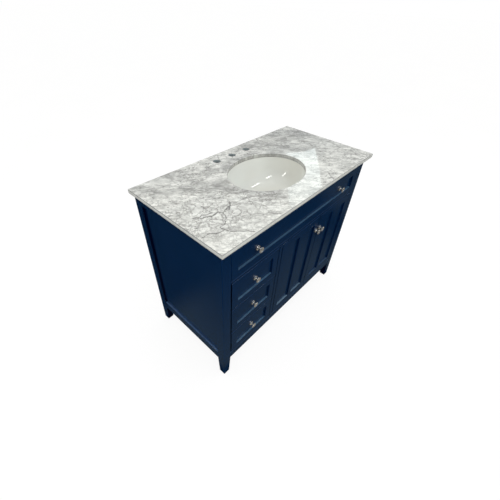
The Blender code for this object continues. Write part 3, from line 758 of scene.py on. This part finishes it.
def make_sealant():
    """Thin bead of silicone where the cut-out meets the bowl's rim."""
    bm = bmesh.new()
    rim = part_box("marble_top")[0].z
    loops = []
    bead_steps = 8
    bead_out, bead_drop = 0.0026, 0.0004
    half_width, half_height = 0.0012, 0.0008
    for step in range(bead_steps):
        angle = 2 * math.pi * step / bead_steps
        out = bead_out + half_width * math.cos(angle)
        height = rim - bead_drop + half_height * math.sin(angle)
        loops.append(add_ring(bm, oval(SINK_CENTRE, SINK_HALF, out, BOWL_STEPS), height))
    for first, second in zip(loops, loops[1:] + loops[:1]):
        bridge(bm, first, second)
    piece("sink_sealant", bm, RUBBER, "cabinet")


# ---- knobs -----------------------------------------------------------
def arc(centre, radius, start, end, steps):
    """Points of an arc in the (radius, height) plane, angles in degrees."""
    points = []
    for step in range(steps + 1):
        angle = math.radians(start + (end - start) * step / steps)
        points.append((centre[0] + radius * math.cos(angle), centre[1] + radius * math.sin(angle)))
    return points


def knob_profile(head):
    """From the head's dished middle, over its raised rim and neck, down to the rosette's foot."""
    dish = [(0.0, head - 0.0012), (0.0024, head - 0.0011), (0.0046, head - 0.0015),
            (0.0060, head - 0.0024), (0.0072, head - 0.0026), (0.0084, head - 0.0020),
            (0.0094, head - 0.0009), (0.0102, head - 0.0002)]
    rim = arc((0.0116, head - 0.0016), 0.0016, 105, -90, 12)
    neck = [(0.0104, head - 0.0054), (0.0076, head - 0.0070), (0.0054, head - 0.0086),
            (0.0044, head - 0.0104), (0.0042, head - 0.0125), (0.0044, 0.0072), (0.0054, 0.0055)]
    rosette = [(0.0070, 0.0046), (0.0090, 0.0040)] + arc((0.0094, 0.0024), 0.0016, 80, 0, 6)
    return dish + rim + neck + rosette + [(0.0110, 0.0003), (0.0, 0.0003)]


def make_knob(node, body):
    low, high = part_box(node)
    bm = bmesh.new()
    centre = Vector(((low.x + high.x) / 2, high.y, (low.z + high.z) / 2))
    add_turned(bm, knob_profile(high.y - low.y), KNOB_STEPS, facing(centre, (0, -1, 0)))
    PULLS.append(piece(node.replace("knob", "pull"), bm, NICKEL, body, [node]))


# ---- shaker fronts ---------------------------------------------------
def make_front(node, body, mullion=False):
    """Frame of stiles and rails with eased edges, and separate panels set in behind it."""
    low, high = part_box(node)
    x0, x1, z0, z1 = low.x, high.x, low.z, high.z
    bays = [(x0 + FRAME_W, x1 - FRAME_W)]
    if mullion:
        middle = (x0 + x1) / 2
        bays = [(x0 + FRAME_W, middle - MULLION_W / 2), (middle + MULLION_W / 2, x1 - FRAME_W)]
    thick = high.y - low.y
    holes = []
    for a, b in bays:
        holes.append(lambda out, a=a, b=b: rectangle(
            (a, z0 + FRAME_W), (b, z1 - FRAME_W), BAY_CORNER, out, 2))
    bm = plate(lambda out: rectangle((x0, z0), (x1, z1), FRONT_CORNER, out, 2), holes, 0.0, thick, ARRIS)
    upright(bm, high.y)
    piece(node + "_frame", bm, NAVY, body, [node])
    bm = bmesh.new()
    for a, b in bays:
        add_box(bm, (a + PANEL_GAP, low.y + RECESS, z0 + FRAME_W + PANEL_GAP),
                (b - PANEL_GAP, low.y + RECESS + PANEL_T, z1 - FRAME_W - PANEL_GAP), SOFT_EDGE)
    piece(node + "_panels", bm, NAVY, body)


# ---- drawer boxes ----------------------------------------------------
def tail_outline(y0, y1, z0, z1, thick):
    """Side board in the YZ plane with dovetails at both ends."""
    pitch = (z1 - z0) / DOVETAILS
    narrow, wide = pitch * TAIL_NARROW, pitch * TAIL_WIDE
    front = []
    for i in range(1, DOVETAILS):
        z = z0 + i * pitch
        front += [(y0, z - narrow), (y0 + thick, z - wide), (y0 + thick, z + wide), (y0, z + narrow)]
    back = [(y0 + y1 - y, z) for y, z in reversed(front)]
    return [(y0, z0)] + front + [(y0, z1), (y1, z1)] + back + [(y1, z0)]


def add_prism(bm, outline, x0, x1):
    """Prism along X from an outline of (y, z) points."""
    near = [bm.verts.new((x0, y, z)) for y, z in outline]
    far = [bm.verts.new((x1, y, z)) for y, z in outline]
    bridge(bm, near, far)
    bm.faces.new(near)
    bm.faces.new(far)


def make_drawer_box(level):
    node = f"drawer_box_{level}"
    body = f"drawer_{level}"
    low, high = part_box(node)
    thick = BOX_SIDE_T
    bm = bmesh.new()
    outline = tail_outline(low.y, high.y, low.z, high.z, thick)
    for x0, x1 in ((low.x, low.x + thick), (high.x - thick, high.x)):
        add_prism(bm, outline, x0, x1)
    bmesh.ops.recalc_face_normals(bm, faces=bm.faces)
    sharp = [e for e in bm.edges if abs(e.verts[0].co.y - e.verts[1].co.y) > 0.1]
    bmesh.ops.bevel(bm, geom=sharp, offset=BOX_SIDE_ROUND, segments=2, profile=0.5, affect="EDGES")
    piece(node + "_sides", bm, MAPLE, body, [node])
    bm = bmesh.new()
    for y0 in (low.y, high.y - thick):
        add_box(bm, (low.x + thick, y0, low.z), (high.x - thick, y0 + thick, high.z), BOARD_EDGE)
    piece(node + "_ends", bm, MAPLE_ACROSS, body)
    bm = bmesh.new()
    pitch = (high.z - low.z) / DOVETAILS
    narrow, wide = pitch * TAIL_NARROW - PIN_SLACK, pitch * TAIL_WIDE - PIN_SLACK
    for y_face, y_root in ((low.y, low.y + thick), (high.y, high.y - thick)):
        for i in range(1, DOVETAILS):
            z = low.z + i * pitch
            pin = [(y_face, z - narrow), (y_root, z - wide), (y_root, z + wide), (y_face, z + narrow)]
            for x0, x1 in ((low.x, low.x + thick), (high.x - thick, high.x)):
                add_prism(bm, pin, x0, x1)
    piece(node + "_pins", bm, MAPLE_END, body, smooth=False)


# ---- hardware details ------------------------------------------------
def add_screw(bm, point, direction, radius):
    """Pan head with a socket, standing proud of a surface along a direction."""
    socket = radius * 0.42
    top = radius * 0.55
    profile = [(0.0, top * 0.35), (socket * 0.7, top * 0.40), (socket, top * 0.9), (radius * 0.60, top),
               (radius * 0.82, top * 0.82), (radius * 0.96, top * 0.45), (radius, 0.0), (0.0, 0.0)]
    add_turned(bm, profile, 20, facing(point, direction))


def along_slide(low, high, places):
    return [low.y + place if place > 0 else high.y + place for place in places]


def make_slide_details(level):
    for side, toward in (("left", 1), ("right", -1)):
        rail_low, rail_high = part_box(f"slide_rail_{level}_{side}")
        runner_low, runner_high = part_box(f"slide_runner_{level}_{side}")
        middle_z = (rail_low.z + rail_high.z) / 2
        wall_x = rail_low.x if toward > 0 else rail_high.x
        bm = bmesh.new()
        for y in along_slide(rail_low, rail_high, RAIL_SCREWS):
            add_screw(bm, (wall_x + toward * SLIDE_STEEL_T, y, middle_z), (toward, 0, 0), RAIL_SCREW_R)
        piece(f"slide_rail_screws_{level}_{side}", bm, ZINC, "cabinet")
        box_x = runner_high.x if toward > 0 else runner_low.x
        bm = bmesh.new()
        for y in along_slide(runner_low, runner_high, RUNNER_SCREWS):
            add_screw(bm, (box_x - toward * SLIDE_STEEL_T, y, middle_z), (-toward, 0, 0), RUNNER_SCREW_R)
        piece(f"slide_runner_screws_{level}_{side}", bm, ZINC, f"drawer_{level}")
        bm = bmesh.new()
        ball_x = (max(rail_low.x, runner_low.x) + min(rail_high.x, runner_high.x)) / 2
        for z in ((runner_high.z + rail_high.z - SLIDE_STEEL_T) / 2,
                  (runner_low.z + rail_low.z + SLIDE_STEEL_T) / 2):
            for step in range(BALLS):
                y = rail_low.y + BALL_START + BALL_PITCH * step
                made = bmesh.ops.create_icosphere(bm, subdivisions=2, radius=BALL_R)["verts"]
                bmesh.ops.translate(bm, vec=(ball_x, y, z), verts=made)
        piece(f"slide_balls_{level}_{side}", bm, NICKEL, "cabinet")


def make_hinge_screws():
    for side, reach in (("left", 1), ("right", -1)):
        for end, up in (("bottom", 1), ("top", -1)):
            low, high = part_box(f"hinge_{side}_{end}")
            plate_z = low.z + HINGE_STEEL_T if up > 0 else high.z - HINGE_STEEL_T
            bm = bmesh.new()
            start = low.x if reach > 0 else high.x
            for along in HINGE_SCREWS_ALONG:
                at = (start + reach * along, (low.y + high.y) / 2, plate_z)
                add_screw(bm, at, (0, 0, up), HINGE_SCREW_R)
            piece(f"hinge_screws_{side}_{end}", bm, ZINC, "cabinet")


def make_clip_bolts():
    centre = Vector((*SINK_CENTRE, 0))
    for side in ("left", "right", "front", "back"):
        low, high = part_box(f"sink_clip_{side}")
        out = Vector(((low.x + high.x) / 2, (low.y + high.y) / 2, 0)) - centre
        out.normalize()
        reach = Vector((abs(out.x) * (high.x - low.x), abs(out.y) * (high.y - low.y), 0)).length / 2
        middle = Vector(((low.x + high.x) / 2, (low.y + high.y) / 2, high.z - CLIP_STEEL_T))
        bm = bmesh.new()
        add_screw(bm, middle + out * (reach - CLIP_BOLT_IN), (0, 0, -1), CLIP_BOLT_R)
        piece(f"sink_clip_bolt_{side}", bm, ZINC, "cabinet")


def make_bumpers():
    """Clear rubber dots behind the free edges of the doors."""
    dome = [(0.0, 0.0016), (0.0022, 0.0015), (0.0036, 0.0010), (0.0042, 0.0), (0.0, 0.0)]
    for side, body in (("left", "door_left"), ("right", "door_right")):
        low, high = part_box(f"door_{side}")
        x = high.x - BUMPER_IN if side == "left" else low.x + BUMPER_IN
        bm = bmesh.new()
        for z in (low.z + BUMPER_IN, high.z - BUMPER_IN):
            add_turned(bm, dome, 24, facing((x, high.y, z), (0, 1, 0)))
        piece(f"door_bumpers_{side}", bm, RUBBER, body)


dress_carcass()
make_slab()
make_bowl()
make_sealant()
make_front("false_front", "cabinet")
for side in ("left", "right"):
    make_knob(f"false_front_knob_{side}", "cabinet")
    make_front(f"door_{side}", f"door_{side}", mullion=True)
    make_knob(f"door_knob_{side}", f"door_{side}")
for level in LEVELS:
    make_front(f"drawer_front_{level}", f"drawer_{level}")
    make_knob(f"drawer_knob_{level}", f"drawer_{level}")
    make_drawer_box(level)
    make_slide_details(level)
make_hinge_screws()
make_clip_bolts()
make_bumpers()


# ---- studio ----------------------------------------------------------
def make_camera():
    azimuth, elevation, roll = CAMERA_AZIMUTH, CAMERA_ELEVATION, CAMERA_ROLL
    back = Vector((math.sin(azimuth) * math.cos(elevation), -math.cos(azimuth) * math.cos(elevation),
                   math.sin(elevation)))
    side = Vector((0, 0, 1)).cross(back).normalized()
    up = back.cross(side)
    rolled_side = math.cos(roll) * side + math.sin(roll) * up
    rolled_up = math.cos(roll) * up - math.sin(roll) * side
    data = bpy.data.cameras.new("camera")
    data.lens = LENS
    data.sensor_width = SENSOR
    data.shift_x, data.shift_y = SHIFT
    data.clip_start = 0.01
    camera = bpy.data.objects.new("camera", data)
    matrix = Matrix((rolled_side, rolled_up, back)).transposed().to_4x4()
    matrix.translation = CAMERA_AT
    camera.matrix_world = matrix
    bpy.context.scene.collection.objects.link(camera)
    bpy.context.scene.camera = camera


def make_world():
    """White to the camera. Light is even, and reflections see a cool ceiling over dim walls."""
    world = bpy.data.worlds.new("studio")
    bpy.context.scene.world = world
    world.use_nodes = True
    tree = world.node_tree
    tree.nodes.clear()
    place = tree.nodes.new("ShaderNodeTexCoord")
    split = tree.nodes.new("ShaderNodeSeparateXYZ")
    tree.links.new(place.outputs["Generated"], split.inputs[0])
    path = tree.nodes.new("ShaderNodeLightPath")
    shown = None
    rooms = ((WORLD_DIFFUSE, None), (WORLD_GLOSSY, "Is Glossy Ray"), (WORLD_CAMERA, "Is Camera Ray"))
    for stops, ray in rooms:
        ramp = tree.nodes.new("ShaderNodeValToRGB")
        tree.links.new(split.outputs["Z"], ramp.inputs["Fac"])
        elements = ramp.color_ramp.elements
        for index, (position, colour) in enumerate(stops):
            element = elements[index] if index < 2 else elements.new(position)
            element.position = position
            element.color = (*colour, 1)
        if len(stops) == 1:
            elements.remove(elements[1])
        background = tree.nodes.new("ShaderNodeBackground")
        tree.links.new(ramp.outputs["Color"], background.inputs["Color"])
        if shown is None:
            shown = background
            continue
        choose = tree.nodes.new("ShaderNodeMixShader")
        tree.links.new(path.outputs[ray], choose.inputs["Fac"])
        tree.links.new(shown.outputs[0], choose.inputs[1])
        tree.links.new(background.outputs[0], choose.inputs[2])
        shown = choose
    output = tree.nodes.new("ShaderNodeOutputWorld")
    tree.links.new(shown.outputs[0], output.inputs["Surface"])


def make_floor():
    """Pale seamless floor. It looks near white, and in the lacquer's reflections it glows dimly, with
    painted light before and beside the cabinet.
    """
    r = Recipe("pale_floor", roughness=0.8)
    cloud = r.noise(r.place, 1.5, 3.0)
    r.finish(r.mix(cloud, (0.13, 0.13, 0.13), (0.15, 0.15, 0.15)), Specular_IOR_Level=0.0)
    glow = r.node("ShaderNodeEmission", {"Color": (1, 1, 1), "Strength": FLOOR_GLOW})
    beyond = r.vector("SUBTRACT", r.vector("ABSOLUTE", r.place), (cad_high.x, cad_high.y, 0.0))
    distance = r.vector("LENGTH", r.vector("MAXIMUM", beyond, (0.0, 0.0, 0.0)))
    at = r.axes(r.place)
    # painted light of the mirrored floor: lit before and beside the cabinet, dim behind and under it
    lit = r.times(r.fall(distance, 0.05, 0.60), r.fall(at["Y"], 0.16, 0.40))
    lit = r.times(lit, r.spread(distance, 0.0, 0.004))
    to_the_right = r.math("MULTIPLY_ADD", at["Y"], 0.6, at["X"])
    lit = r.math("MAXIMUM", lit, r.spread(to_the_right, 0.78, 1.13, 0.0, 0.8))
    pool = r.mix(lit, (0.006, 0.011, 0.017), (0.066, 0.082, 0.072))
    dim = r.node("ShaderNodeEmission", {"Color": pool, "Strength": 1.0})
    path = r.node("ShaderNodeLightPath")
    plain = r.shader.outputs[0]
    glowing = r.node("ShaderNodeAddShader", {0: plain, 1: glow.outputs[0]})
    seen = r.node("ShaderNodeMixShader", {
        0: path.outputs["Is Camera Ray"], 1: plain, 2: glowing.outputs[0]})
    mirrored = r.node("ShaderNodeMixShader", {
        0: path.outputs["Is Glossy Ray"], 1: seen.outputs[0], 2: dim.outputs[0]})
    r.feed(r.tree.nodes["Material Output"].inputs["Surface"], mirrored.outputs[0])
    bm = bmesh.new()
    bmesh.ops.create_grid(bm, x_segments=1, y_segments=1, size=FLOOR_HALF)
    bmesh.ops.translate(bm, vec=(0, 0, FLOOR_Z), verts=bm.verts)
    floor = to_object("floor", bm, r.material)


def area_light(name, at, toward, size, power, colour):
    data = bpy.data.lights.new(name, "AREA")
    data.shape = "RECTANGLE"
    data.size, data.size_y = size
    data.energy = power
    data.color = colour
    light = bpy.data.objects.new(name, data)
    light.location = at
    light.rotation_mode = "QUATERNION"
    light.rotation_quaternion = (Vector(toward) - Vector(at)).to_track_quat("-Z", "Y")
    bpy.context.scene.collection.objects.link(light)
    light.visible_camera = False
    return light


def glow_card(name, corners, colour, strength):
    """Bright card that only reflections see."""
    bm = bmesh.new()
    bm.faces.new([bm.verts.new(corner) for corner in corners])
    r = Recipe(name)
    glow = r.node("ShaderNodeEmission", {"Color": colour, "Strength": strength})
    r.feed(r.tree.nodes["Material Output"].inputs["Surface"], glow.outputs[0])
    card = to_object(name, bm, r.material)
    card.visible_camera = False
    card.visible_diffuse = False
    card.visible_shadow = False


def make_window_card():
    """Placed so that the camera sees its mirror image on the slab, right of the bowl."""
    top = cad_high.z
    mirrored_eye = Vector((CAMERA_AT[0], CAMERA_AT[1], 2 * top - CAMERA_AT[2]))
    corners = []
    for x, y in WINDOW_ON_SLAB:
        ray = Vector((x, y, top)) - mirrored_eye
        corners.append(mirrored_eye + ray * ((WINDOW_HEIGHT - mirrored_eye.z) / ray.z))
    glow_card("window_card", corners, WINDOW_COLOUR, WINDOW_STRENGTH)


def make_tube_cards():
    """Ceiling tubes, which the glazed bowl and the knobs mirror as small streaks."""
    for index, (start, end, width) in enumerate(TUBES):
        start = Vector(start)
        end = Vector(end)
        across = (end - start).cross(Vector((0, 0, 1))).normalized() * width / 2
        corners = (start - across, end - across, end + across, start + across)
        glow_card(f"tube_card_{index + 1}", corners, TUBE_COLOUR, TUBE_STRENGTH)


def make_lights():
    key = area_light(*KEY_LIGHT)
    key.visible_glossy = False
    area_light(*FILL_LIGHT)
    bounce = area_light(*BOUNCE_LIGHT)
    bounce.visible_diffuse = False
    bright_metal = bpy.data.collections.new("lit_by_floor_bounce")
    for pull in PULLS:
        bright_metal.objects.link(pull)
    bounce.light_linking.receiver_collection = bright_metal
    make_window_card()
    make_tube_cards()


make_camera()
make_world()
make_floor()
make_lights()
bpy.context.scene.view_settings.view_transform = "Standard"
